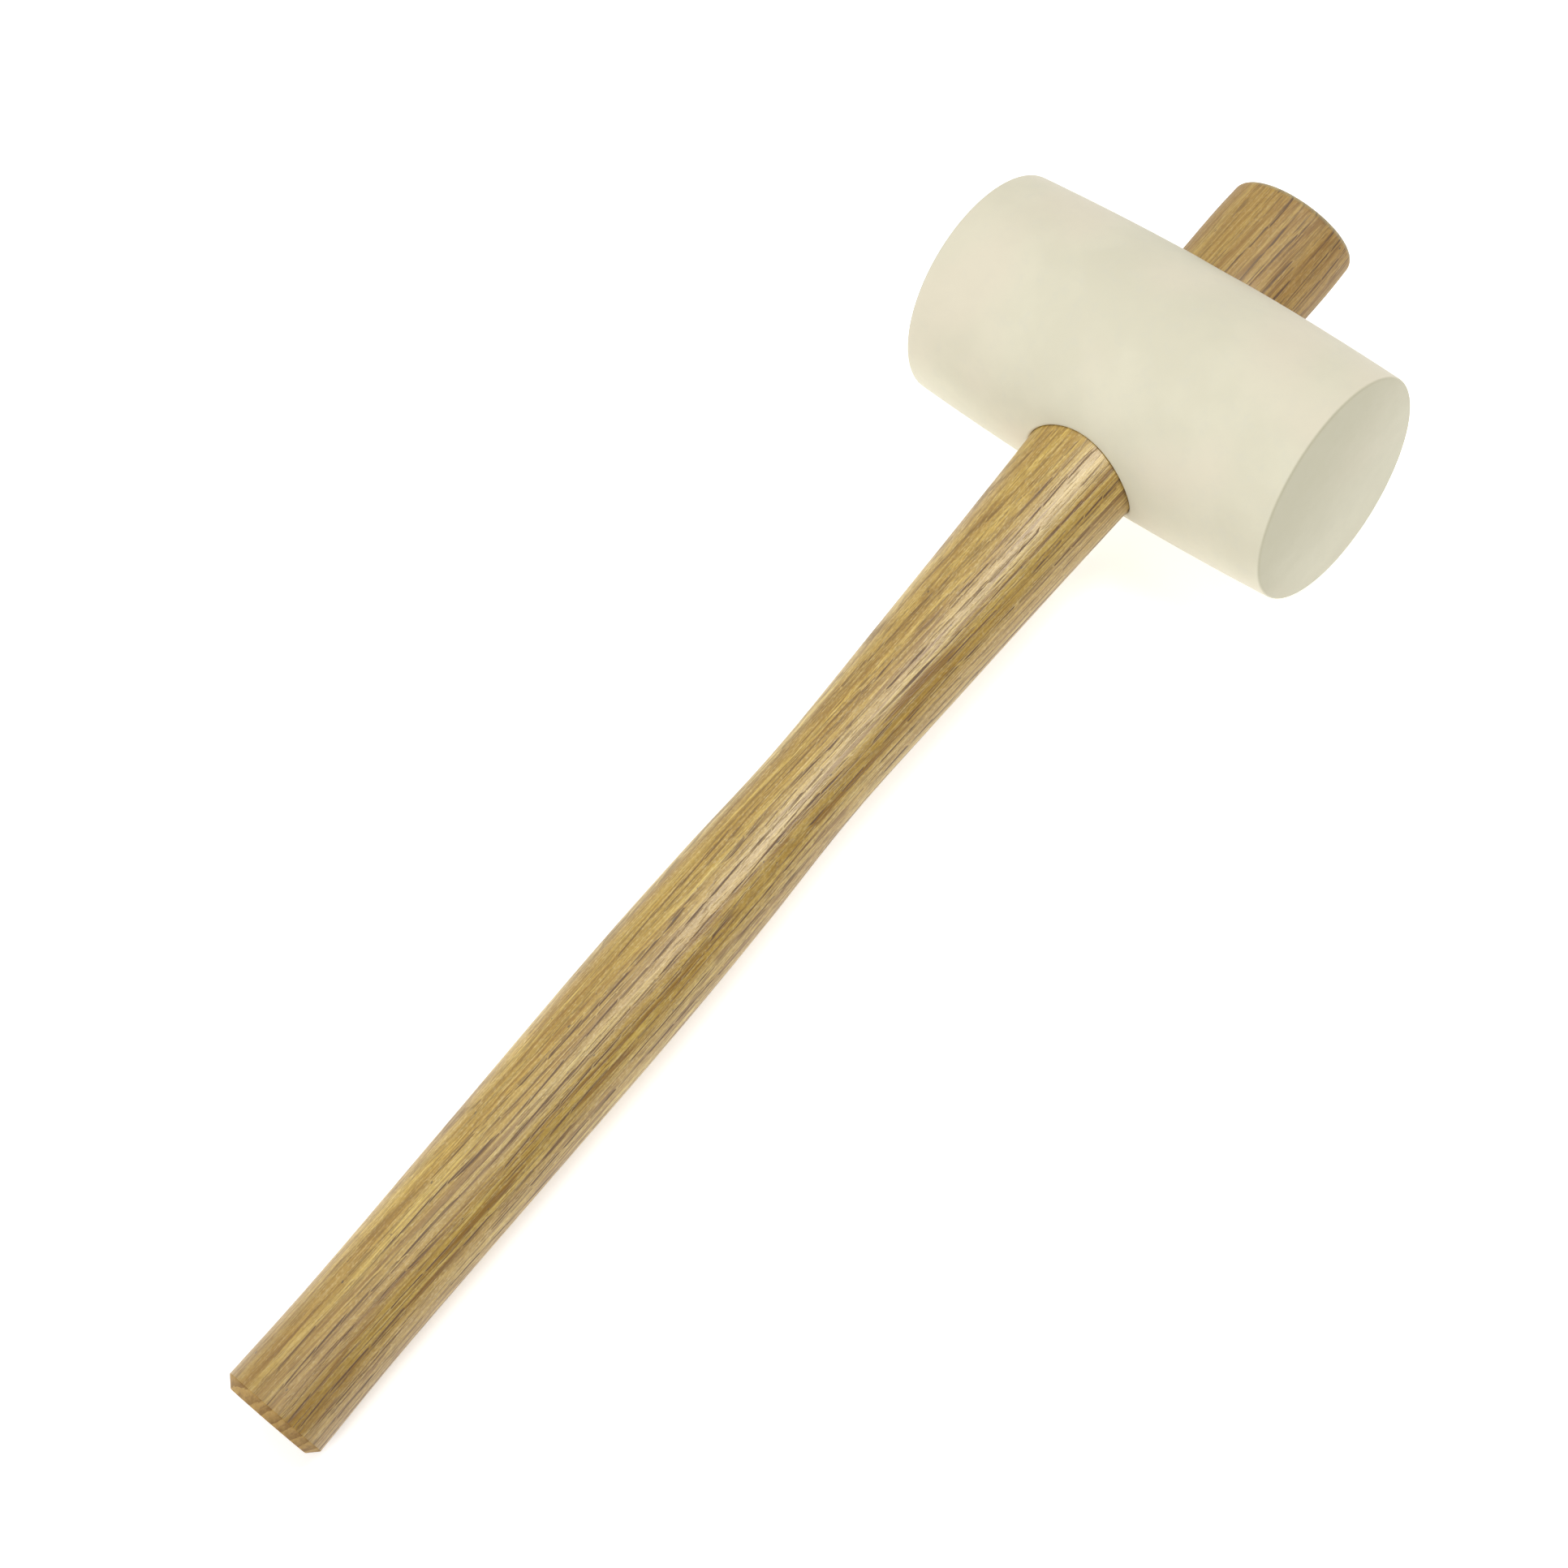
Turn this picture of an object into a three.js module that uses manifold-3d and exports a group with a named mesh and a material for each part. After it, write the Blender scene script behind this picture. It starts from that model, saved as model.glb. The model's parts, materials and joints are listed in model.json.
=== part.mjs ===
// A rubber mallet: a solid rubber head jammed on the flared end of a one-piece oak handle.
//
// Millimetres, +Z up. Both pieces are drawn in the tool's own axes, which cross at the middle of the
// head: X runs up the handle, from the butt towards the head, and Y runs along the head, from one
// striking face to the other. The finished tool is then laid down as it rests on a flat surface, on the
// belly of its head and the lower edge of its butt.

import * as THREE from 'three';
import { mergeVertices } from 'three/addons/utils/BufferGeometryUtils.js';
import Module from 'manifold-3d';

// Head
const HEAD_LENGTH = 112;
const HEAD_WAIST_RADIUS = 32.5; // over the eye, where the head is thickest
const HEAD_FACE_RADIUS = 30.8; // the head narrows to both faces, which lets it leave its mould
const HEAD_RIM_ROUNDING = 0.8;
const HEAD_SIDES = 64;
const BARREL_STEPS = 10; // even, so that one ring lies at the waist
const EYE_GAP = 0.3; // all round the handle

// Handle
const BUTT_X = -334;
const BUTT_CHAMFER = 2.4;
const TOP_X = 57;
const TOP_ROUNDING = 2.2;
const GRIP_FLATNESS = 0.86; // thickness over width
const TOP_FLATNESS = 0.8; // the flare spreads along the head more than across it
const FLARE_START_X = -60;
const BOW_START_X = -150; // from here up, the handle bows gently off its axis
const EYE_X = -30; // where it enters the head
const EYE_SHIFT = -1; // of its middle along Y, from the eye's mouth to the top
const EYE_RISE = 2; // of its middle along Z, at the eye's mouth
const TOP_RISE = 0.5; // and at the top
const HANDLE_SIDES = 32;
const HANDLE_STEPS = 34;
const ROUNDING_STEPS = 3;

// Half the handle's width at each station on X. The grip swells towards the butt and at mid-length, is
// waisted below the head, and flares through the eye.
const HANDLE_STATIONS = [
  [BUTT_X + BUTT_CHAMFER, 14.2],
  [-302, 13.6],
  [-255, 13.9],
  [-205, 14.3],
  [-170, 13.8],
  [-135, 12.65],
  [-95, 13.65],
  [-45, 15.3],
  [0, 17.25],
  [40, 18.3],
  [TOP_X - TOP_ROUNDING, 18.1],
];

// A quarter round, from its side to its end, about a centre at (radius, along).
function quarterRound(radius, along, rounding) {
  const points = [];
  for (let i = 0; i <= ROUNDING_STEPS; i++) {
    const angle = (i / ROUNDING_STEPS) * (Math.PI / 2);
    points.push(new THREE.Vector2(
      radius + rounding * Math.cos(angle),
      along + rounding * Math.sin(angle),
    ));
  }
  return points;
}

// The head's barrel bulges as a parabola, from the face radius up to the waist radius.
function headGeometry() {
  const half = HEAD_LENGTH / 2;
  const barrelHalf = half - HEAD_RIM_ROUNDING;
  const bulge = HEAD_WAIST_RADIUS - HEAD_FACE_RADIUS;
  const rim = quarterRound(HEAD_FACE_RADIUS - HEAD_RIM_ROUNDING, barrelHalf, HEAD_RIM_ROUNDING);
  const lowerRim = rim.map((point) => new THREE.Vector2(point.x, -point.y)).reverse();

  const barrel = [];
  for (let i = 1; i < BARREL_STEPS; i++) {
    const along = barrelHalf * ((2 * i) / BARREL_STEPS - 1);
    const radius = HEAD_WAIST_RADIUS - bulge * (along / barrelHalf) ** 2;
    barrel.push(new THREE.Vector2(radius, along));
  }

  const profile = [
    new THREE.Vector2(0, -half),
    ...lowerRim,
    ...barrel,
    ...rim,
    new THREE.Vector2(0, half),
  ];
  return new THREE.LatheGeometry(profile, HEAD_SIDES);
}

// Thickness over width of the handle's oval section, eased from the grip's to the top's.
function flatness(x) {
  const flare = THREE.MathUtils.smoothstep(x, FLARE_START_X, TOP_X);
  return THREE.MathUtils.lerp(GRIP_FLATNESS, TOP_FLATNESS, flare);
}

// How far the middle of the handle's section stands off its axis, along Y and Z.
function bow(x) {
  const onset = THREE.MathUtils.smoothstep(x, BOW_START_X, EYE_X);
  const rise = THREE.MathUtils.lerp(EYE_RISE, TOP_RISE, THREE.MathUtils.smoothstep(x, EYE_X, TOP_X));
  return { y: EYE_SHIFT * onset, z: rise * onset };
}

// The handle, grown all over its sides by a clearance. It is turned round X, flattened along Z and bowed.
function handleGeometry(clearance) {
  const stations = HANDLE_STATIONS.map(([x, radius]) => new THREE.Vector2(radius, x));
  const side = new THREE.SplineCurve(stations).getPoints(HANDLE_STEPS);
  const topRadius = side[side.length - 1].x;
  const profile = [
    new THREE.Vector2(0, BUTT_X),
    new THREE.Vector2(side[0].x - BUTT_CHAMFER, BUTT_X),
    ...side.slice(0, -1),
    ...quarterRound(topRadius - TOP_ROUNDING, TOP_X - TOP_ROUNDING, TOP_ROUNDING),
    new THREE.Vector2(0, TOP_X),
  ];
  const geometry = new THREE.LatheGeometry(profile, HANDLE_SIDES);
  geometry.rotateZ(-Math.PI / 2);

  const position = geometry.attributes.position;
  for (let i = 0; i < position.count; i++) {
    const x = position.getX(i);
    const y = position.getY(i);
    const z = position.getZ(i);
    const radius = Math.hypot(y, z);
    const growth = radius > 0 ? clearance / radius : 0;
    const shift = bow(x);
    position.setY(i, y * (1 + growth) + shift.y);
    position.setZ(i, z * (flatness(x) + growth) + shift.z);
  }
  return geometry;
}

const wasm = await Module();
wasm.setup();

function toSolid(geometry) {
  const bare = geometry.clone();
  bare.deleteAttribute('normal');
  bare.deleteAttribute('uv');
  const merged = mergeVertices(bare, 1e-4);
  return new wasm.Manifold(new wasm.Mesh({
    numProp: 3,
    vertProperties: new Float32Array(merged.attributes.position.array),
    triVerts: new Uint32Array(merged.index.array),
  }));
}

function toGeometry(solid) {
  const mesh = solid.getMesh();
  const geometry = new THREE.BufferGeometry();
  geometry.setAttribute('position', new THREE.BufferAttribute(mesh.vertProperties, 3));
  geometry.setIndex(new THREE.BufferAttribute(mesh.triVerts, 1));
  geometry.computeVertexNormals();
  return geometry;
}

// The lying pose is found from the ground line that touches the head's circle and the butt's lower edge.
const buttEdgeX = BUTT_X + BUTT_CHAMFER;
const buttEdgeZ = HANDLE_STATIONS[0][1] * flatness(buttEdgeX);
const lyingTilt =
  Math.asin(HEAD_WAIST_RADIUS / Math.hypot(buttEdgeX, buttEdgeZ)) - Math.atan2(buttEdgeZ, -buttEdgeX);

// The head is turned about its own axis so that one column of its vertices stands lowest when it lies.
const headBlank = toSolid(headGeometry().rotateY(lyingTilt));
const eye = toSolid(handleGeometry(EYE_GAP));
const rubberHead = new THREE.Mesh(
  toGeometry(headBlank.subtract(eye)),
  new THREE.MeshStandardMaterial({ color: 0xe6e1ca, roughness: 0.85, metalness: 0 }),
);
rubberHead.name = 'rubber_head';

const oakHandle = new THREE.Mesh(
  toGeometry(toSolid(handleGeometry(0))),
  new THREE.MeshStandardMaterial({ color: 0xc4a26e, roughness: 0.5, metalness: 0 }),
);
oakHandle.name = 'oak_handle';

const mallet = new THREE.Group();
mallet.add(rubberHead, oakHandle);
mallet.rotation.y = -lyingTilt;

// The origin is the middle of the bottom of the lying tool's bounding box.
const box = new THREE.Box3().setFromObject(mallet, true);
const centre = box.getCenter(new THREE.Vector3());
mallet.position.set(-centre.x, -centre.y, -box.min.z);

const group = new THREE.Group();
group.add(mallet);

export default group;
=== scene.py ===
import json
import math

import bmesh
import bpy
import numpy as np
from mathutils import Matrix, Vector


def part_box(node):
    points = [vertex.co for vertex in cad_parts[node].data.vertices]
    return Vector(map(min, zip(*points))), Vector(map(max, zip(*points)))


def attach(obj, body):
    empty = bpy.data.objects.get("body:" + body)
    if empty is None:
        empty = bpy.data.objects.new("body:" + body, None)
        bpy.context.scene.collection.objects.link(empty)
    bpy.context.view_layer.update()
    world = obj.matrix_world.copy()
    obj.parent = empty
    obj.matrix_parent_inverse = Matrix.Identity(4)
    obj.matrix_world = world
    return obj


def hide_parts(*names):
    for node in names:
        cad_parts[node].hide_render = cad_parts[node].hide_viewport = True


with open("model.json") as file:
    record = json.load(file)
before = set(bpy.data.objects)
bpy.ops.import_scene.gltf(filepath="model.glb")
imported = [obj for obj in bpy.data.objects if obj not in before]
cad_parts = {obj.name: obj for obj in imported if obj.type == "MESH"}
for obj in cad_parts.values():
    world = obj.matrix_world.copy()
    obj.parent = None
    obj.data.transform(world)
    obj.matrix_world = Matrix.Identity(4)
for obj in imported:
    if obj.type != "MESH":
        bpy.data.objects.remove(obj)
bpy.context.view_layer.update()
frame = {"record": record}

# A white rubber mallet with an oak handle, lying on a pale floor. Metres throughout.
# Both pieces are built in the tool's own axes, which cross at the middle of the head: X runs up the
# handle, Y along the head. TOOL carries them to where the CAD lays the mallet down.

MM = 0.001

# ---------------------------------------------------------------- sizes, from the CAD frame

mounts = {m["name"]: Vector(m["pos_m"]) for m in frame["record"]["mounts"]}
left_face = mounts["left_striking_face"]
right_face = mounts["right_striking_face"]
head_low, head_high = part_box("rubber_head")

CENTRE = (left_face + right_face) / 2
X_AXIS = Vector(next(m["axis"] for m in frame["record"]["mounts"] if m["name"] == "handle_top"))
Y_AXIS = (left_face - right_face).normalized()
Z_AXIS = X_AXIS.cross(Y_AXIS)
TOOL = Matrix((X_AXIS, Y_AXIS, Z_AXIS)).transposed().to_4x4()
TOOL.translation = CENTRE

HEAD_HALF = (left_face - right_face).length / 2
WAIST_RADIUS = (head_high.z - head_low.z) / 2
BARREL_BULGE = 1.7 * MM
FACE_RADIUS = WAIST_RADIUS - BARREL_BULGE
RIM_ROUNDING = 0.8 * MM
BUTT_X = (mounts["handle_butt"] - CENTRE).dot(X_AXIS)
TOP_X = (mounts["handle_top"] - CENTRE).dot(X_AXIS)
BUTT_CHAMFER = 2.4 * MM
TOP_ROUNDING = 2.2 * MM
GRIP_FLATNESS = 0.86
TOP_FLATNESS = 0.8
FLARE_START_X = -60 * MM

# The handle bows gently off its axis on its way through the head.
BOW_START_X = -150 * MM
EYE_X = -30 * MM
EYE_RISE = 2 * MM
EYE_SHIFT = (mounts["handle_top"] - CENTRE).dot(Y_AXIS)
TOP_RISE = (mounts["handle_top"] - CENTRE).dot(Z_AXIS)

# Half the handle's width at stations along it.
HANDLE_STATIONS = np.array([
    (BUTT_X + BUTT_CHAMFER, 14.2 * MM),
    (-302 * MM, 13.6 * MM),
    (-255 * MM, 13.9 * MM),
    (-205 * MM, 14.3 * MM),
    (-170 * MM, 13.8 * MM),
    (-135 * MM, 12.65 * MM),
    (-95 * MM, 13.65 * MM),
    (-45 * MM, 15.3 * MM),
    (0, 17.25 * MM),
    (40 * MM, 18.3 * MM),
    (TOP_X - TOP_ROUNDING, 18.1 * MM),
])


# ---------------------------------------------------------------- camera

CAMERA_EYE = Vector((-0.3207, -0.3605, 0.7452))
CAMERA_TARGET = Vector((-0.13975, 0.00591, 0))
CAMERA_ROLL = math.radians(25.96)
CAMERA_LENS = 80.136
CAMERA_SENSOR = 36


def add_camera():
    """The camera stands over the butt and looks up the tool, rolled so that the handle runs diagonally."""
    back = (CAMERA_EYE - CAMERA_TARGET).normalized()
    level = Vector((0, 0, 1)).cross(back).normalized()
    up = back.cross(level) * math.cos(CAMERA_ROLL) + level * math.sin(CAMERA_ROLL)
    turned = Matrix((up.cross(back), up, back)).transposed().to_4x4()
    turned.translation = CAMERA_EYE
    data = bpy.data.cameras.new("camera")
    data.lens = CAMERA_LENS
    data.sensor_width = CAMERA_SENSOR
    camera = bpy.data.objects.new("camera", data)
    camera.matrix_world = TOOL @ turned
    bpy.context.scene.collection.objects.link(camera)
    bpy.context.scene.camera = camera


# ---------------------------------------------------------------- meshes

WELD = 0.001 * MM
CURVE_STEPS = 40  # between two stations of the handle


def make_piece(name, patches, slots):
    """One smooth closed mesh from patches of (points as rows by columns, wraps round, slot)."""
    verts = []
    faces = []
    face_slots = []
    for points, wraps, slot in patches:
        rows, columns = points.shape[:2]
        start = len(verts)
        verts.extend(points.reshape(-1, 3).tolist())
        for i in range(rows - 1):
            for j in range(columns if wraps else columns - 1):
                k = (j + 1) % columns
                faces.append((
                    start + i * columns + j,
                    start + i * columns + k,
                    start + (i + 1) * columns + k,
                    start + (i + 1) * columns + j,
                ))
                face_slots.append(slot)
    mesh = bpy.data.meshes.new(name)
    mesh.from_pydata(verts, [], faces)
    mesh.polygons.foreach_set("material_index", face_slots)
    for slot in slots:
        mesh.materials.append(slot)
    bm = bmesh.new()
    bm.from_mesh(mesh)
    bmesh.ops.remove_doubles(bm, verts=bm.verts, dist=WELD)
    bmesh.ops.dissolve_degenerate(bm, dist=0.1 * WELD, edges=bm.edges)
    bmesh.ops.recalc_face_normals(bm, faces=bm.faces)
    for face in bm.faces:
        face.smooth = True
    bm.to_mesh(mesh)
    bm.free()
    mesh.transform(TOOL)
    piece = bpy.data.objects.new(name, mesh)
    bpy.context.scene.collection.objects.link(piece)
    return piece


def half_width(x):
    """Half the handle's width: a Catmull-Rom curve through the stations, sampled finely."""
    stations = HANDLE_STATIONS
    padded = np.vstack([stations[0], stations, stations[-1]])
    t = np.linspace(0, 1, CURVE_STEPS)[:, None]
    curve = []
    for a, b, c, d in zip(padded, padded[1:], padded[2:], padded[3:]):
        curve.append(0.5 * (
            2 * b + (c - a) * t + (2 * a - 5 * b + 4 * c - d) * t**2 + (3 * b - 3 * c + d - a) * t**3
        ))
    curve = np.vstack(curve)
    return np.interp(x, curve[:, 0], curve[:, 1])


def eased(x, start, end):
    """0 before start, 1 after end, and smooth between them."""
    t = np.clip((x - start) / (end - start), 0, 1)
    return t * t * (3 - 2 * t)


def flatness(x):
    """Thickness over width of the handle's oval section."""
    return GRIP_FLATNESS + (TOP_FLATNESS - GRIP_FLATNESS) * eased(x, FLARE_START_X, TOP_X)


def oval(x, angles, growth=0.0):
    """The handle's section at x, grown evenly: how far each point stands off the axis, along Y and Z."""
    onset = eased(x, BOW_START_X, EYE_X)
    rise = EYE_RISE + (TOP_RISE - EYE_RISE) * eased(x, EYE_X, TOP_X)
    wide = half_width(x) + growth
    thick = half_width(x) * flatness(x) + growth
    return onset * EYE_SHIFT + wide * np.cos(angles), onset * rise + thick * np.sin(angles)


HANDLE_COLUMNS = 160
HANDLE_ROWS = 300
WORN_EDGE = 0.35 * MM
TOP_EDGE_RINGS = 7
END_RINGS = 12  # from the rim of an end to its middle


def handle_ring(x, angles, inset=0.0):
    """One section of the handle, inset evenly from its side."""
    return np.stack([np.full_like(angles, x), *oval(x, angles, -inset)], -1)


def handle_piece(side, end_grain):
    angles = np.linspace(0, 2 * math.pi, HANDLE_COLUMNS, endpoint=False)
    edge = WORN_EDGE
    side_start = BUTT_X + BUTT_CHAMFER + edge
    side_end = TOP_X - TOP_ROUNDING
    rings = [handle_ring(x, angles) for x in np.linspace(side_start, side_end, HANDLE_ROWS)]

    # The butt's chamfer, with a worn edge on each side of it
    chamfer_edge = 0.5 * edge
    butt_rings = [
        handle_ring(side_start, angles),
        handle_ring(side_start - 0.7 * edge, angles, 0.06 * edge),
        handle_ring(side_start - edge, angles, 0.3 * edge),
        handle_ring(side_start - 1.6 * edge, angles, 0.85 * edge),
    ]
    for part in (0.35, 0.65):
        down = part * BUTT_CHAMFER
        butt_rings.append(handle_ring(side_start - edge - down, angles, 0.25 * edge + down))
    butt_rings += [
        handle_ring(BUTT_X + chamfer_edge, angles, BUTT_CHAMFER - chamfer_edge + 0.1 * edge),
        handle_ring(BUTT_X + 0.3 * chamfer_edge, angles, BUTT_CHAMFER + 0.1 * edge),
        handle_ring(BUTT_X, angles, BUTT_CHAMFER + 0.7 * edge),
    ]
    butt_face = end_face(butt_rings[-1], BUTT_X)

    top_rings = []
    for turn in np.linspace(0, math.pi / 2, TOP_EDGE_RINGS):
        ring = handle_ring(side_end, angles, TOP_ROUNDING * (1 - math.cos(turn)))
        ring[:, 0] = side_end + TOP_ROUNDING * math.sin(turn)
        top_rings.append(ring)
    top_face = end_face(top_rings[-1], TOP_X)

    return make_piece("oak_handle_shaped", [
        (np.array(rings), True, 0),
        (np.array(butt_rings), True, 1),
        (butt_face, True, 1),
        (np.array(top_rings), True, 0),
        (top_face, True, 1),
    ], [side, end_grain])


def end_face(rim, x):
    """A flat end: rings that shrink from the rim to the middle."""
    middle = np.array([x, rim[:, 1].mean(), rim[:, 2].mean()])
    shrink = np.linspace(1, 0, END_RINGS)[:, None, None]
    return middle + (rim - middle) * shrink


# ---- the head

BARREL_COLUMNS = 192  # round the head
PATCH_COLUMNS = 26  # of those, each side of an eye mouth, in its patch
PATCH_HALF = 27 * MM  # along the head
PATCH_ROWS = 49  # along the head, in the patch
OUTER_ROWS = 26  # from the patch to each rim
PATCH_RINGS = 15  # from the patch's border to the mouth
PATCH_CROWDING = 1.35  # above 1, those rings crowd towards the mouth
MOUTH_RINGS = 8  # round the mouth's rounded edge
WALL_RINGS = 24  # down the eye
RIM_RINGS = 9
FACE_RINGS = 24
MOUTH_ROUNDING = 0.8 * MM
MOUTH_PASSES = 6  # each brings the mouth's outline nearer to the barrel
EYE_GAP = 0.08 * MM


def barrel_radius(y):
    return WAIST_RADIUS - BARREL_BULGE * (y / (HEAD_HALF - RIM_ROUNDING)) ** 2


def on_barrel(y, turn):
    """A point of the head's side: turn goes round the head from +X towards +Z."""
    y, turn = np.broadcast_arrays(y, turn)
    radius = barrel_radius(y)
    return np.stack([radius * np.cos(turn), y, radius * np.sin(turn)], -1)


def mouth_points(angles, way, outset):
    """Where the eye's oval, grown by outset, meets the barrel on the side that way points to."""
    x = np.full_like(angles, way * WAIST_RADIUS)
    for _ in range(MOUTH_PASSES):
        y, z = oval(x, angles, EYE_GAP + outset)
        x = way * np.sqrt(barrel_radius(y) ** 2 - z**2)
    return np.stack([x, y, z], -1)


def head_piece(rubber):
    turns = np.linspace(0, 2 * math.pi, BARREL_COLUMNS, endpoint=False)
    patch_ys = np.linspace(-PATCH_HALF, PATCH_HALF, PATCH_ROWS)
    outer_ys = np.linspace(PATCH_HALF, HEAD_HALF - RIM_ROUNDING, OUTER_ROWS)
    step = 2 * math.pi / BARREL_COLUMNS

    patches = []
    for ys in (outer_ys, -outer_ys):
        patches.append((on_barrel(ys[:, None], turns[None, :]), True, 0))

    # Between the two eye patches, above and below
    between = np.arange(PATCH_COLUMNS, BARREL_COLUMNS // 2 - PATCH_COLUMNS + 1) * step
    for offset in (0, math.pi):
        patches.append((on_barrel(patch_ys[:, None], between[None, :] + offset), False, 0))

    # The border of an eye patch, once round, as (along, turn) pairs
    reach = PATCH_COLUMNS * step
    side_turns = np.linspace(-reach, reach, 2 * PATCH_COLUMNS + 1)
    border = np.array(
        [(y, -reach) for y in patch_ys[:-1]]
        + [(PATCH_HALF, t) for t in side_turns[:-1]]
        + [(y, reach) for y in patch_ys[:0:-1]]
        + [(-PATCH_HALF, t) for t in side_turns[:0:-1]]
    )
    angles = np.arctan2(
        WAIST_RADIUS * np.sin(border[:, 1]) / (TOP_FLATNESS * half_width(0)), border[:, 0] / half_width(0)
    )

    # Each eye patch runs from its border to the mouth's lip, and over the rounded edge into the eye
    eye_ends = []
    for way in (1, -1):
        lip = mouth_points(angles, way, MOUTH_ROUNDING)
        lip_pairs = np.stack([lip[:, 1], np.arcsin(lip[:, 2] / barrel_radius(lip[:, 1]))], -1)
        rings = []
        for t in np.linspace(0, 1, PATCH_RINGS):
            ease = 1 - (1 - t) ** PATCH_CROWDING
            pairs = border + (lip_pairs - border) * ease
            rings.append(on_barrel(pairs[:, 0], pairs[:, 1]) * np.array([way, 1, 1]))
        patches.append((np.array(rings), True, 0))

        corner = mouth_points(angles, way, 0)
        inner = corner.copy()
        inner[:, 0] -= way * MOUTH_ROUNDING
        inner[:, 1:] = np.stack(oval(inner[:, 0], angles, EYE_GAP), -1)
        rounding = []
        for t in np.linspace(0, 1, MOUTH_RINGS):
            rounding.append((1 - t) ** 2 * lip + 2 * t * (1 - t) * corner + t**2 * inner)
        patches.append((np.array(rounding), True, 0))
        eye_ends.append(inner)

    wall = []
    for t in np.linspace(0, 1, WALL_RINGS):
        ring = eye_ends[0] + (eye_ends[1] - eye_ends[0]) * t
        ring[:, 1:] = np.stack(oval(ring[:, 0], angles, EYE_GAP), -1)
        wall.append(ring)
    patches.append((np.array(wall), True, 0))

    # The rims and the striking faces
    for way in (1, -1):
        rim = []
        for turn in np.linspace(0, math.pi / 2, RIM_RINGS):
            radius = FACE_RADIUS - RIM_ROUNDING * (1 - math.cos(turn))
            y = np.full_like(turns, way * (HEAD_HALF - RIM_ROUNDING * (1 - math.sin(turn))))
            rim.append(np.stack([radius * np.cos(turns), y, radius * np.sin(turns)], -1))
        patches.append((np.array(rim), True, 0))
        middle = np.array([0, way * HEAD_HALF, 0])
        shrink = np.linspace(1, 0, FACE_RINGS)[:, None, None]
        patches.append((middle + (rim[-1] - middle) * shrink, True, 0))
    return make_piece("rubber_head_moulded", patches, [rubber])


# ---------------------------------------------------------------- materials

def srgb(r, g, b):
    """A colour given as 0 to 255 on screen, as the linear values that a shader takes."""
    channels = []
    for value in (r, g, b):
        v = value / 255
        channels.append(v / 12.92 if v <= 0.04045 else ((v + 0.055) / 1.055) ** 2.4)
    return (*channels, 1)


class Shader:
    """A material under construction: short calls that add a node and return its output socket."""

    def __init__(self, name):
        self.material = bpy.data.materials.new(name)
        self.material.use_nodes = True
        self.tree = self.material.node_tree
        self.surface = self.tree.nodes["Principled BSDF"]

    def node(self, kind, **values):
        made = self.tree.nodes.new(kind)
        for name, value in values.items():
            setattr(made, name, value)
        return made

    def feed(self, socket, value):
        if isinstance(value, bpy.types.NodeSocket):
            self.tree.links.new(value, socket)
        else:
            socket.default_value = value

    def math(self, operation, a, b=0.0):
        made = self.node("ShaderNodeMath", operation=operation)
        self.feed(made.inputs[0], a)
        self.feed(made.inputs[1], b)
        return made.outputs[0]

    def place(self):
        """The point in the tool's axes, in millimetres."""
        coordinates = self.node("ShaderNodeTexCoord")
        into_tool = self.node("ShaderNodeMapping", vector_type="TEXTURE")
        self.feed(into_tool.inputs["Vector"], coordinates.outputs["Object"])
        into_tool.inputs["Location"].default_value = TOOL.translation
        into_tool.inputs["Rotation"].default_value = TOOL.to_euler()
        into_tool.inputs["Scale"].default_value = (MM, MM, MM)
        return into_tool.outputs[0]

    def split(self, vector):
        made = self.node("ShaderNodeSeparateXYZ")
        self.feed(made.inputs[0], vector)
        return made.outputs

    def join(self, x, y, z):
        made = self.node("ShaderNodeCombineXYZ")
        for socket, value in zip(made.inputs, (x, y, z)):
            self.feed(socket, value)
        return made.outputs[0]

    def stretched(self, vector, x, y, z):
        """The point divided by a size on each axis, so that a texture of scale 1 has features that size."""
        made = self.node("ShaderNodeVectorMath", operation="DIVIDE")
        self.feed(made.inputs[0], vector)
        made.inputs[1].default_value = (x, y, z)
        return made.outputs[0]

    def noise(self, vector, detail=2.0, roughness=0.5):
        made = self.node("ShaderNodeTexNoise")
        self.feed(made.inputs["Vector"], vector)
        made.inputs["Scale"].default_value = 1
        made.inputs["Detail"].default_value = detail
        made.inputs["Roughness"].default_value = roughness
        return made.outputs["Fac"]

    def ramp(self, value, low, high, start=0.0, end=1.0):
        """value mapped smoothly from low..high to start..end."""
        made = self.node("ShaderNodeMapRange", interpolation_type="SMOOTHSTEP")
        names = ("Value", "From Min", "From Max", "To Min", "To Max")
        for name, number in zip(names, (value, low, high, start, end)):
            self.feed(made.inputs[name], number)
        return made.outputs[0]

    def mix(self, factor, a, b):
        """Colour a where factor is 0, colour b where it is 1."""
        made = self.node("ShaderNodeMix", data_type="RGBA")
        self.feed(made.inputs[0], factor)
        self.feed(made.inputs[6], a)
        self.feed(made.inputs[7], b)
        return made.outputs[2]

    def bump(self, height, distance, strength):
        made = self.node("ShaderNodeBump")
        made.inputs["Distance"].default_value = distance
        made.inputs["Strength"].default_value = strength
        self.feed(made.inputs["Height"], height)
        return made.outputs[0]

    def finish(self, **values):
        for name, value in values.items():
            self.feed(self.surface.inputs[name.replace("_", " ")], value)
        return self.material


TEXTURE_DEPTH = 0.06 * MM

# Inside the materials every other length is in millimetres, in the tool's axes.
FACE_AT = HEAD_HALF / MM
TOP_AT = TOP_X / MM

RUBBER_LIGHT = srgb(225, 220, 196)
RUBBER_DARK = srgb(220, 215, 191)
RUBBER_MOTTLE = srgb(216, 213, 196)
RUBBER_WARM = srgb(229, 218, 196)
# Painted shade on the striking faces, with faint scuffs
RUBBER_FACE_SHADE_AND_SCUFF = srgb(198, 193, 166)


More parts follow.
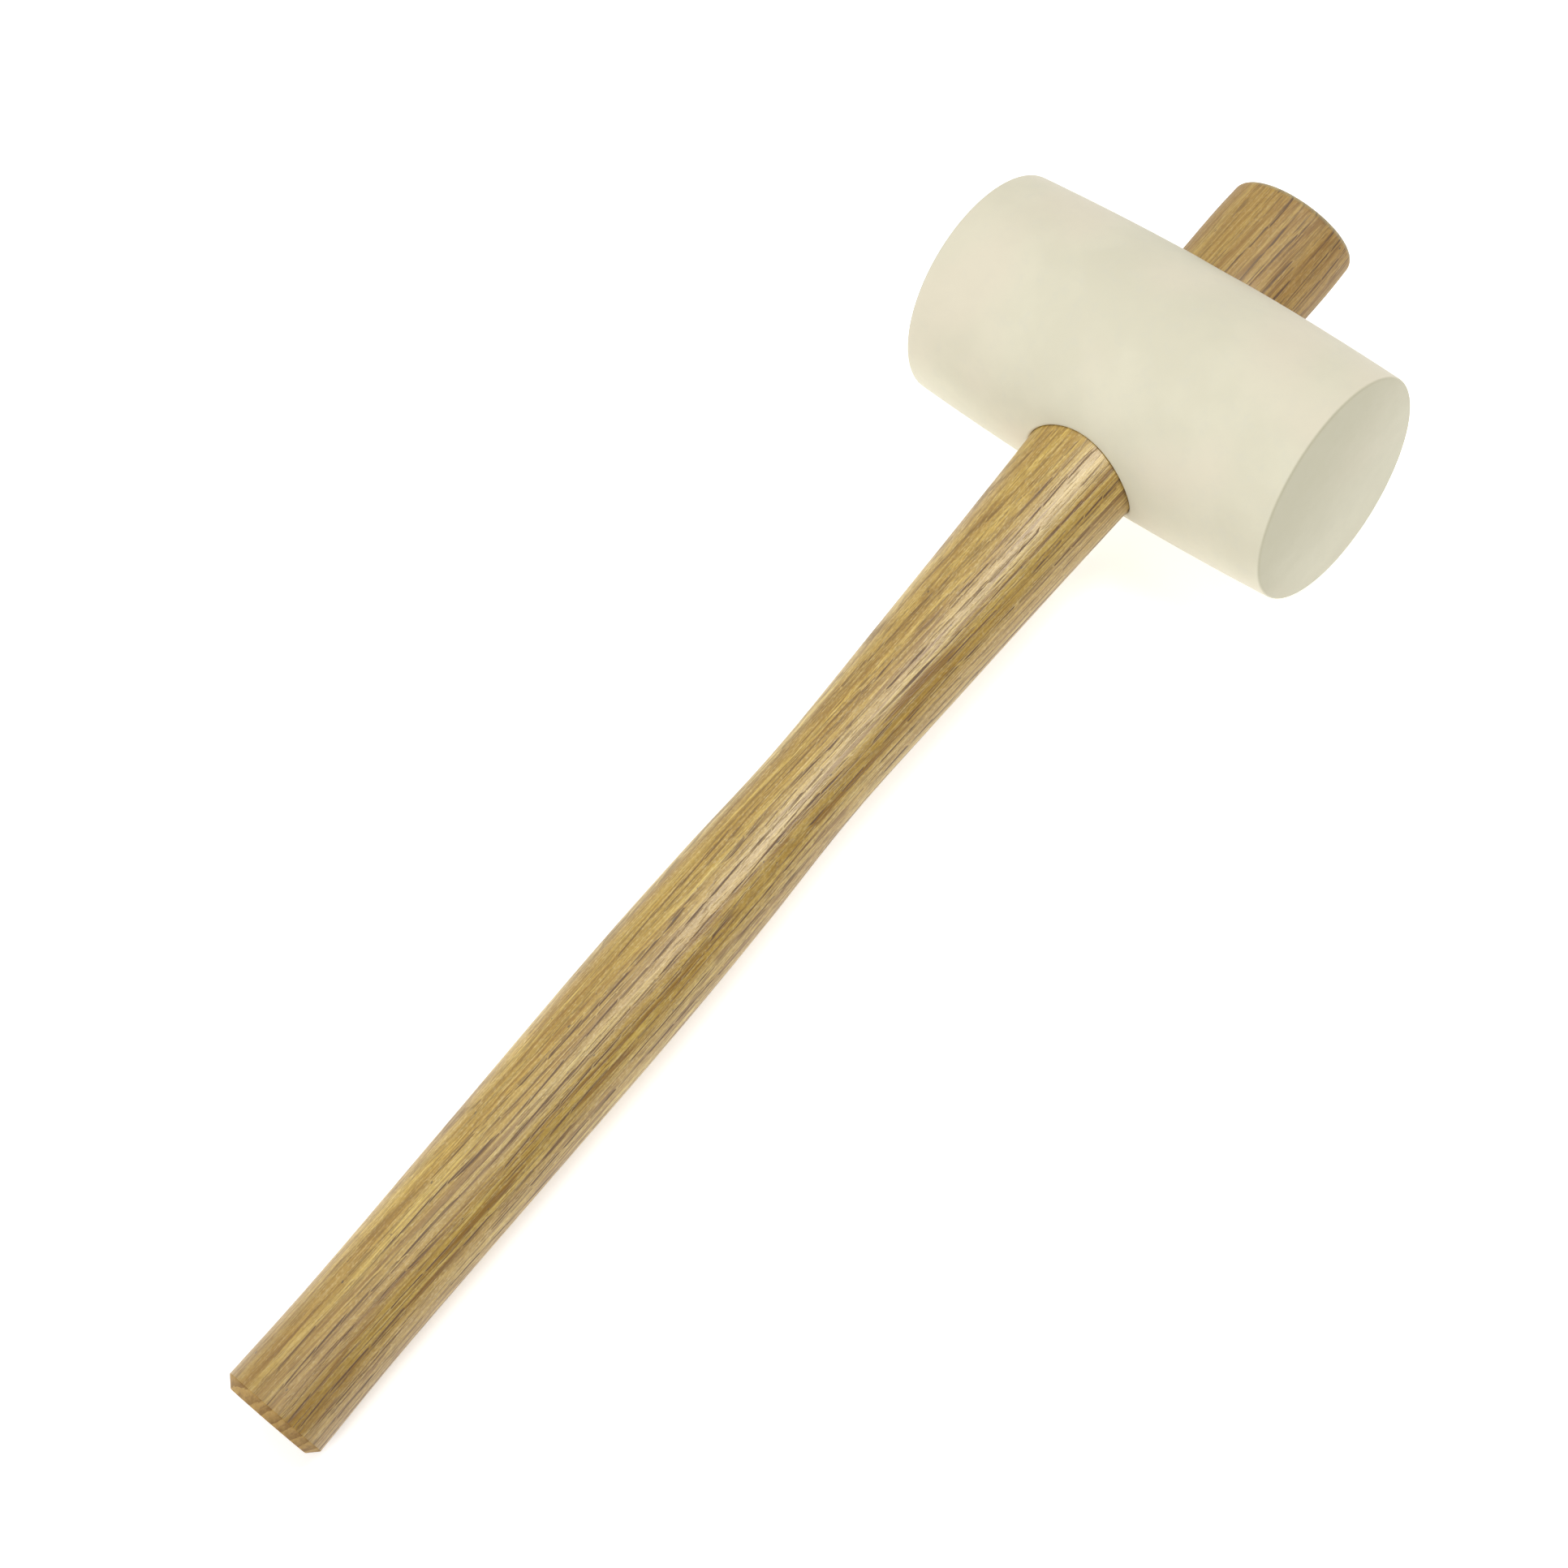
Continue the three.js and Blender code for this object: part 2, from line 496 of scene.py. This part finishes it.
def rubber_material():
    s = Shader("white_rubber")
    p = s.place()
    x, y, z = s.split(p)
    cloud = s.noise(s.stretched(p, 22, 22, 22), detail=3, roughness=0.55)
    fine = s.noise(s.stretched(p, 3.2, 3.2, 3.2), detail=3, roughness=0.6)
    grain = s.noise(s.stretched(p, 0.45, 0.45, 0.45), detail=2, roughness=0.6)
    colour = s.mix(s.ramp(cloud, 0.35, 0.65), RUBBER_DARK, RUBBER_LIGHT)
    colour = s.mix(s.ramp(fine, 0.45, 0.8, 0, 0.3), colour, RUBBER_MOTTLE)
    tint = s.noise(s.stretched(p, 34, 26, 26), detail=1)
    colour = s.mix(s.ramp(tint, 0.4, 0.7, 0, 0.5), colour, RUBBER_WARM)

    # Painted shade: the striking faces are greyer, most of all high up and towards -X, where they lie in
    # shade, with faint scuffs breaking it up
    face = s.ramp(s.math("ABSOLUTE", y), FACE_AT - 0.6, FACE_AT - 0.1)
    scuff = s.noise(s.stretched(p, 9, 9, 5), detail=4, roughness=0.7)
    up = s.math("SUBTRACT", z, s.math("MULTIPLY", x, 0.4))
    shade_rise_with_scuffs = s.math("ADD", up, s.math("MULTIPLY", scuff, 14))
    face_shade_and_scuffs = s.math("MULTIPLY", face, s.ramp(shade_rise_with_scuffs, -20, 30, 0.25, 1.0))
    colour = s.mix(face_shade_and_scuffs, colour, RUBBER_FACE_SHADE_AND_SCUFF)

    height = s.math("ADD", s.math("MULTIPLY", fine, 0.6), s.math("MULTIPLY", grain, 0.25))
    rough = s.ramp(fine, 0.3, 0.7, 0.66, 0.78)
    return s.finish(
        Base_Color=colour,
        Roughness=rough,
        Specular_IOR_Level=0.4,
        Sheen_Weight=0.2,
        Sheen_Roughness=0.4,
        Normal=s.bump(height, TEXTURE_DEPTH, 0.5),
    )


FIBRE_SLOPE = 0.018  # of the pores themselves across the handle
CHAIN_SLOPE = 0.03  # of a chain of pores, on top of that
PITH = (0, -62, -48)  # the middle of the tree
OUTWARD = -Vector(PITH).normalized()  # from the pith to the handle

OAK_GOLD = srgb(197, 159, 53)
OAK_STRAW = srgb(235, 206, 107)
OAK_BAND = srgb(197, 158, 64)
OAK_DARK_SILK = srgb(137, 101, 29)
OAK_LIGHT_SILK = srgb(240, 218, 158)
OAK_EARLY_WOOD = srgb(147, 106, 37)
OAK_RAY = srgb(220, 200, 152)
OAK_LIGHT_GRIT = srgb(238, 218, 162)
OAK_DARK_GRIT = srgb(138, 99, 29)
# Also painted shade down the right (-Y) side
OAK_SHADE = srgb(139, 100, 26)
OAK_BROWN = srgb(148, 104, 32)
OAK_SMOKE = srgb(134, 91, 4)
OAK_PORE = srgb(92, 57, 0)
OAK_SPECK = srgb(84, 66, 44)
# Painted highlight on the top end's rounded edge
OAK_RIM_HIGHLIGHT = srgb(166, 164, 130)
END_GRAIN_DARK = srgb(124, 88, 38)
END_GRAIN_LIGHT = srgb(176, 140, 78)


def pore_chains(s, p, spacing, dash_length, thickness, seed):
    """Chains of dark dashes along the growth rings: each dash is a pore, a step to one side of the last.

    Returns how dark each point is, and how far it is through its growth ring.
    """
    x, y, z = s.split(p)
    patch = s.join(seed, s.math("DIVIDE", y, 2.2), s.math("DIVIDE", z, 2.2))
    shift = s.math("MULTIPLY", s.noise(patch, detail=0), 30)
    stretch = s.math("MULTIPLY", s.noise(s.stretched(p, 14, 3, 3), detail=0), 0.9 * dash_length)
    run = s.math("DIVIDE", s.math("ADD", s.math("ADD", x, shift), stretch), dash_length)
    dash = s.math("FLOOR", run)
    along = s.math("FRACT", run)
    dash_x = s.math("SUBTRACT", s.math("MULTIPLY", dash, dash_length), shift)

    wander = s.noise(s.stretched(p, 190, 70, 70), detail=1)
    across = s.math("ADD", y, s.math("MULTIPLY", wander, 6.0))
    across = s.math("ADD", across, s.math("MULTIPLY", x, FIBRE_SLOPE))
    across = s.math("ADD", across, s.math("MULTIPLY", dash_x, CHAIN_SLOPE))
    from_pith = s.node("ShaderNodeVectorMath", operation="DISTANCE")
    s.feed(from_pith.inputs[0], s.join(0.0, across, z))
    from_pith.inputs[1].default_value = PITH
    wobble = s.noise(s.stretched(p, 60, 5, 5), detail=1)
    ring = s.math("DIVIDE", from_pith.outputs["Value"], spacing)
    ring = s.math("ADD", ring, s.math("MULTIPLY", wobble, 0.9))

    number = s.math("FLOOR", ring)
    off_line = s.math("ABSOLUTE", s.math("SUBTRACT", s.math("FRACT", ring), 0.5))
    line = s.math("SUBTRACT", 1.0, s.ramp(off_line, 0.4 * thickness / spacing, thickness / spacing))
    # Where the surface runs along a ring, its band of pores is wide, and breaks up into fine dashes
    splits = s.noise(s.stretched(s.join(x, across, z), 11, 0.3, 0.3), detail=0)
    line = s.math("MULTIPLY", line, s.ramp(splits, 0.3, 0.5, 0.3, 1))
    # The chains are fainter on the side away from the pith
    outward = s.math("ADD", s.math("MULTIPLY", y, OUTWARD.y), s.math("MULTIPLY", z, OUTWARD.z))
    line = s.math("MULTIPLY", line, s.ramp(outward, 6, 13, 1, 0.55))
    ends = s.math("MULTIPLY", s.ramp(along, 0.0, 0.06), s.ramp(along, 0.94, 1.0, 1, 0))
    chance = s.node("ShaderNodeTexWhiteNoise", noise_dimensions="2D")
    s.feed(chance.inputs["Vector"], s.join(number, dash, 0.0))
    chain = s.noise(s.join(s.math("DIVIDE", x, 40), s.math("MULTIPLY", number, 5.3), seed), detail=1)
    strength = s.ramp(chance.outputs["Value"], 0.0, 0.45, 0.4, 1)
    strength = s.math("MULTIPLY", strength, s.ramp(chain, 0.32, 0.47))
    return s.math("MULTIPLY", s.math("MULTIPLY", line, ends), strength), s.math("FRACT", ring)


def oak_material(name, end_grain):
    s = Shader(name)
    p = s.place()
    x, y, z = s.split(p)
    fibre = s.join(x, s.math("ADD", y, s.math("MULTIPLY", x, FIBRE_SLOPE + CHAIN_SLOPE)), z)

    bold, phase = pore_chains(s, p, spacing=2.9, dash_length=11, thickness=0.28, seed=0.0)
    faint, _ = pore_chains(s, p, spacing=1.7, dash_length=7, thickness=0.2, seed=7.0)
    vessel = s.noise(s.stretched(fibre, 6, 0.28, 0.28), detail=1, roughness=0.5)
    dark = s.math("MAXIMUM", bold, s.math("MULTIPLY", faint, 0.7))
    dark = s.math("MAXIMUM", dark, s.ramp(vessel, 0.56, 0.72, 0, 0.5))

    # Broad bands, streaks and silky lines along the fibre, and short flecks
    streak = s.noise(s.stretched(fibre, 70, 1.8, 1.8), detail=3, roughness=0.6)
    silk = s.noise(s.stretched(fibre, 24, 0.4, 0.4), detail=3, roughness=0.65)
    band = s.noise(s.stretched(fibre, 150, 6, 6), detail=2)
    ray = s.noise(s.stretched(fibre, 2.6, 0.8, 0.5), detail=2, roughness=0.6)
    grit = s.noise(s.stretched(p, 0.9, 0.45, 0.45), detail=1)

    colour = s.mix(s.ramp(streak, 0.3, 0.7), OAK_GOLD, OAK_STRAW)
    colour = s.mix(s.ramp(band, 0.4, 0.62, 0, 0.6), colour, OAK_BAND)
    colour = s.mix(s.ramp(silk, 0.36, 0.6, 0.5, 0.0), colour, OAK_DARK_SILK)
    colour = s.mix(s.ramp(silk, 0.55, 0.75, 0.0, 0.55), colour, OAK_LIGHT_SILK)
    colour = s.mix(s.ramp(phase, 0.5, 0.95, 0.3, 0.0), colour, OAK_EARLY_WOOD)
    colour = s.mix(s.ramp(ray, 0.62, 0.76, 0, 0.35), colour, OAK_RAY)
    colour = s.mix(s.ramp(grit, 0.5, 0.75, 0, 0.3), colour, OAK_LIGHT_GRIT)
    colour = s.mix(s.ramp(grit, 0.25, 0.45, 0.3, 0), colour, OAK_DARK_GRIT)

    # Painted shade down the right (-Y) side, away from the main light; the wood is browner through the
    # head, and darker at the last of the butt
    wavy = s.math("MULTIPLY", s.math("SUBTRACT", band, 0.5), 12)
    wavy_x = s.math("ADD", x, wavy)
    wavy_y = s.math("ADD", y, wavy)
    # Painted shade: darker towards -Y
    colour = s.mix(s.ramp(wavy_y, -9, 2, 0.18, 0), colour, OAK_SHADE)
    colour = s.mix(s.ramp(wavy_x, -60, 45, 0, 0.46), colour, OAK_BROWN)
    colour = s.mix(s.ramp(wavy_x, -334, -280, 0.45, 0), colour, OAK_SHADE)

    # Long smoky streaks, more of them down the right side
    smoke = s.noise(s.stretched(fibre, 80, 1.1, 1.1), detail=2, roughness=0.6)
    smoke = s.math("MULTIPLY", s.ramp(smoke, 0.52, 0.64), s.ramp(wavy_y, -10, 4, 0.85, 0.5))
    colour = s.mix(smoke, colour, OAK_SMOKE)
    colour = s.mix(dark, colour, OAK_PORE)
    speck = s.noise(s.stretched(p, 1.9, 0.9, 0.9), detail=0)
    colour = s.mix(s.ramp(speck, 0.85, 0.88, 0, 0.8), colour, OAK_SPECK)
    if end_grain:
        cut = s.noise(s.stretched(p, 3, 1.6, 1.6), detail=3)
        cut = s.math("ADD", s.math("MULTIPLY", cut, 0.6), s.math("MULTIPLY", phase, 0.4))
        colour = s.mix(0.7, colour, s.mix(s.ramp(cut, 0.3, 0.65), END_GRAIN_DARK, END_GRAIN_LIGHT))
    else:
        # Painted highlight: a pale greyish band round the top end's rounded edge, where it catches light
        rim = s.ramp(x, TOP_AT - 2.0, TOP_AT - 0.9, 0, 0.4)
        colour = s.mix(rim, colour, OAK_RIM_HIGHLIGHT)

    height = s.math("ADD", s.math("MULTIPLY", silk, 0.5), s.math("MULTIPLY", grit, 0.9))
    height = s.math("SUBTRACT", height, dark)
    rough = s.math("MAXIMUM", s.ramp(dark, 0.0, 1.0, 0.41, 0.62), s.ramp(x, 10, 35, 0, 0.62))
    return s.finish(
        Base_Color=colour,
        Roughness=0.75 if end_grain else rough,
        IOR=1.62,
        Specular_IOR_Level=0.5 if end_grain else 0.95,
        Specular_Tint=(1, 0.97, 0.88, 1),
        Normal=s.bump(height, TEXTURE_DEPTH, 0.6),
    )


# ---------------------------------------------------------------- stage

FLOOR_HALF = 12.0
FLOOR_COLOUR = (0.93, 0.93, 0.93, 1)
FLOOR_GLOW = 0.505
FLOOR_GLOW_COLOUR = (0.97, 0.985, 1, 1)

# Lights stand in the frame's own axes, where the head lies along Y too. The room's light comes mostly
# from +Y: it is dim towards -Y, which the near striking face looks at, and a little dimmer towards +X.
ROOM_BRIGHT_WAY = (-0.3, 0.95, 0)
ROOM_LIGHT = {"From Min": -0.9, "From Max": 0.3, "To Min": 0.1, "To Max": 0.56}

# Name, place, the point it is aimed at, size and power in watts
SOFTBOXES = (
    ("overhead_softbox", (-0.3, 0.25, 1.5), (-0.05, 0, 0), (1.6, 1.6), 4),
    ("key_softbox", (0.52, -0.5, 1.62), (-0.02, 0, 0), (0.5, 0.7), 14.5),
    ("side_softbox", (-0.9, 0.35, 0.4), (0.1, 0, 0.02), (0.8, 0.5), 2.4),
)


def floor_material():
    s = Shader("pale_floor")
    return s.finish(
        Base_Color=FLOOR_COLOUR,
        Roughness=0.9,
        Specular_IOR_Level=0.1,
        Emission_Color=FLOOR_GLOW_COLOUR,
        Emission_Strength=FLOOR_GLOW,
    )


def add_floor():
    mesh = bpy.data.meshes.new("floor")
    corners = [(x * FLOOR_HALF, y * FLOOR_HALF, 0) for x, y in ((-1, -1), (1, -1), (1, 1), (-1, 1))]
    mesh.from_pydata(corners, [], [(0, 1, 2, 3)])
    mesh.materials.append(floor_material())
    floor = bpy.data.objects.new("floor", mesh)
    bpy.context.scene.collection.objects.link(floor)


def add_softbox(name, place, target, size, power):
    data = bpy.data.lights.new(name, "AREA")
    data.shape = "RECTANGLE"
    data.size, data.size_y = size
    data.energy = power
    light = bpy.data.objects.new(name, data)
    light.location = place
    aim = Vector(target) - Vector(place)
    light.rotation_euler = aim.to_track_quat("-Z", "Y").to_euler()
    bpy.context.scene.collection.objects.link(light)


def add_room():
    world = bpy.data.worlds.new("studio")
    world.use_nodes = True
    nodes = world.node_tree.nodes
    links = world.node_tree.links
    background = nodes["Background"]
    background.inputs["Color"].default_value = (1, 1, 1, 1)
    coordinates = nodes.new("ShaderNodeTexCoord")
    side = nodes.new("ShaderNodeVectorMath")
    side.operation = "DOT_PRODUCT"
    side.inputs[1].default_value = ROOM_BRIGHT_WAY
    strength = nodes.new("ShaderNodeMapRange")
    strength.interpolation_type = "SMOOTHSTEP"
    for name, value in ROOM_LIGHT.items():
        strength.inputs[name].default_value = value
    links.new(coordinates.outputs["Generated"], side.inputs[0])
    links.new(side.outputs["Value"], strength.inputs["Value"])
    links.new(strength.outputs[0], background.inputs["Strength"])
    bpy.context.scene.world = world


add_camera()
add_floor()
add_room()
for softbox in SOFTBOXES:
    add_softbox(*softbox)
bpy.context.scene.view_settings.view_transform = "Standard"

head = head_piece(rubber_material())
handle = handle_piece(oak_material("oak", False), oak_material("oak_end_grain", True))
for piece, node, slot in ((head, "rubber_head", "white_rubber"), (handle, "oak_handle", "oak")):
    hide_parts(node)
    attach(piece, "root")
